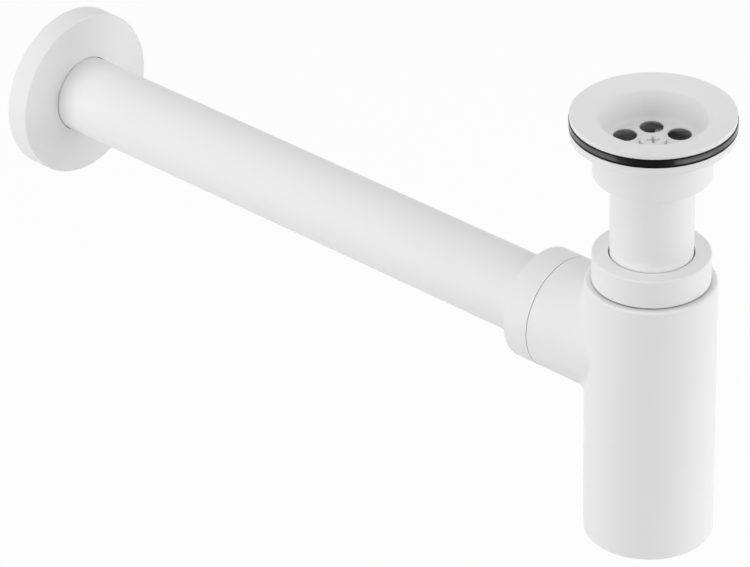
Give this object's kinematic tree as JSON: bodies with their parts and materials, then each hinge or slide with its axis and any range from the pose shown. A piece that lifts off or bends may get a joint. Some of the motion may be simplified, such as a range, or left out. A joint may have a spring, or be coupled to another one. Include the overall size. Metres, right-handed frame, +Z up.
{
  "type": "bottle trap",
  "caption": "White bottle trap with a dished strainer waste, a straight horizontal outlet pipe and a round wall flange, which joins a washbasin to a wall drain.",
  "frame": {"origin": "where the waste's axis crosses the plane in which the two gaskets meet and a basin is clamped", "axes": "+Z up along the waste's axis, +Y along the outlet pipe towards the wall"},
  "size_m": [0.07, 0.3504, 0.1843],
  "materials": {
    "white_coat": "matte white coating on brass",
    "black_rubber": "matt black rubber",
    "white_nylon": "natural nylon"
  },
  "bodies": {
    "waste": {"waste_cup": "white_coat", "rim_gasket": "black_rubber", "tube_washer": "black_rubber", "inlet_tube": "white_coat"},
    "strainer": {"strainer": "white_coat", "flange_gasket": "black_rubber"},
    "screw": {"centre_screw": "white_coat"},
    "inlet_seal": {"inlet_seal": "black_rubber"},
    "bottle": {"trap_bottle": "white_coat", "outlet_seal": "black_rubber"},
    "inlet_ring": {"inlet_slip_ring": "white_nylon"},
    "inlet_nut": {"inlet_nut": "white_coat"},
    "outlet_ring": {"outlet_slip_ring": "white_nylon"},
    "outlet_nut": {"outlet_nut": "white_coat"},
    "outlet_pipe": {"outlet_pipe": "white_coat"},
    "wall_flange": {"wall_flange": "white_coat", "grip_ring": "black_rubber"}
  },
  "joints": [
    {"name": "strainer_lift", "type": "slide", "parent": "waste", "child": "strainer", "axis": [0, 0, 1], "range_m": [0, 0.025]},
    {"name": "screw_turn", "type": "hinge", "parent": "strainer", "child": "screw", "pos_m": [0, 0, 0], "axis": [0, 0, 1], "range_deg": [0, 9010]},
    {"name": "height_adjust", "type": "slide", "parent": "waste", "child": "inlet_seal", "axis": [0, 0, 1], "range_m": [-0.03, 0.012]},
    {"name": "bottle_swivel", "type": "hinge", "parent": "inlet_seal", "child": "bottle", "pos_m": [0, 0, -0.0685], "axis": [0, 0, 1], "continuous": true},
    {"name": "inlet_nut_lift", "type": "slide", "parent": "bottle", "child": "inlet_ring", "axis": [0, 0, 1], "range_m": [0, 0.008]},
    {"name": "inlet_nut_turn", "type": "hinge", "parent": "inlet_ring", "child": "inlet_nut", "pos_m": [0, 0, -0.0625], "axis": [0, 0, 1], "range_deg": [0, 1260]},
    {"name": "outlet_nut_back", "type": "slide", "parent": "bottle", "child": "outlet_ring", "axis": [0, 1, 0], "range_m": [0, 0.008]},
    {"name": "outlet_nut_turn", "type": "hinge", "parent": "outlet_ring", "child": "outlet_nut", "pos_m": [0, 0.049, -0.101], "axis": [0, 1, 0], "range_deg": [0, 1260]},
    {"name": "outlet_pipe_slide", "type": "slide", "parent": "bottle", "child": "outlet_pipe", "axis": [0, 1, 0], "range_m": [-0.01, 0.008]},
    {"name": "wall_flange_slide", "type": "slide", "parent": "outlet_pipe", "child": "wall_flange", "axis": [0, 1, 0], "range_m": [-0.23, 0]}
  ],
  "couplings": [
    {"joint": "screw_turn", "follows": "strainer_lift", "rad_per_m": 6283.2},
    {"joint": "inlet_nut_turn", "follows": "inlet_nut_lift", "rad_per_m": 2721.2},
    {"joint": "outlet_nut_turn", "follows": "outlet_nut_back", "rad_per_m": 2721.2}
  ]
}
